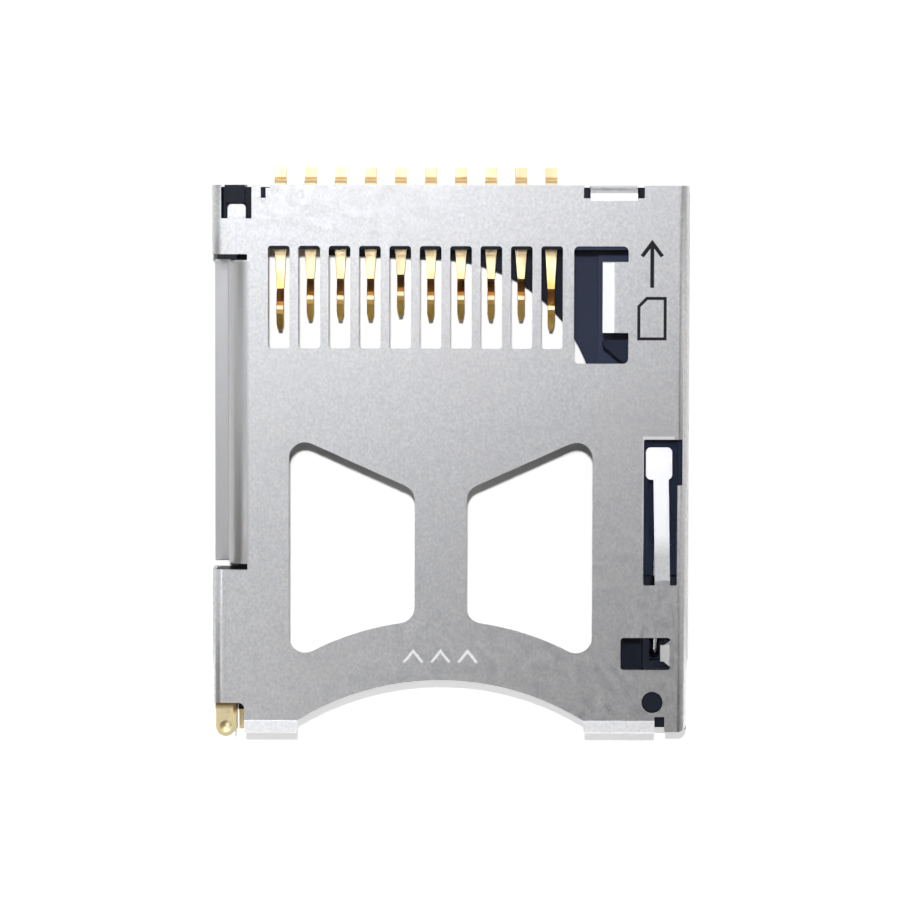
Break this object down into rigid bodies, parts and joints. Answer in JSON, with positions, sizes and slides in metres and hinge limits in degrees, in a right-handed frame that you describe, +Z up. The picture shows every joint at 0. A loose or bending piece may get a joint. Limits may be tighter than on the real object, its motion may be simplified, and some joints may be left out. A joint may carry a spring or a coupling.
{
  "type": "memory stick socket",
  "caption": "Low push-push card socket for a circuit board: folded steel cover, black housing, gold spring contacts, sprung slider with a cam pin.",
  "frame": {"origin": "middle of the part's box, on the board plane under it", "axes": "+Z up from the board, +Y the way the card goes in, +X to the right seen from above with the mouth at the front"},
  "size_m": [0.0236, 0.0286, 0.0029],
  "materials": {
    "cover_steel": "satin stainless sheet",
    "housing_black": "moulded blue-black plastic",
    "slider_black": "moulded blue-black plastic, slightly smoother",
    "gold_plate": "gold plating on copper alloy",
    "spring_steel": "drawn spring wire",
    "pin_steel": "bright drawn wire"
  },
  "bodies": {
    "socket": {"cover": "cover_steel", "housing": "housing_black", "contact_01": "gold_plate", "contact_02": "gold_plate", "contact_03": "gold_plate", "contact_04": "gold_plate", "contact_05": "gold_plate", "contact_06": "gold_plate", "contact_07": "gold_plate", "contact_08": "gold_plate", "contact_09": "gold_plate", "contact_10": "gold_plate", "return_spring": "spring_steel", "switch_spring": "gold_plate", "switch_terminal": "gold_plate"},
    "carriage": {"slider": "slider_black"},
    "pin": {"cam_pin": "pin_steel"}
  },
  "joints": [
    {"name": "slider_slide", "type": "slide", "parent": "socket", "child": "carriage", "axis": [0, 1, 0], "range_m": [0, 0.0039], "stiffness_N_per_m": 270, "deforming": ["return_spring"]},
    {"name": "cam_pin_swing", "type": "hinge", "parent": "socket", "child": "pin", "pos_m": [0.0102, -0.00985, 0.00195], "axis": [0, 0, 1], "range_deg": [-4.3, 0]}
  ],
  "couplings": [
    {"joint": "cam_pin_swing", "follows": "slider_slide", "rad_per_m": -19.168}
  ]
}
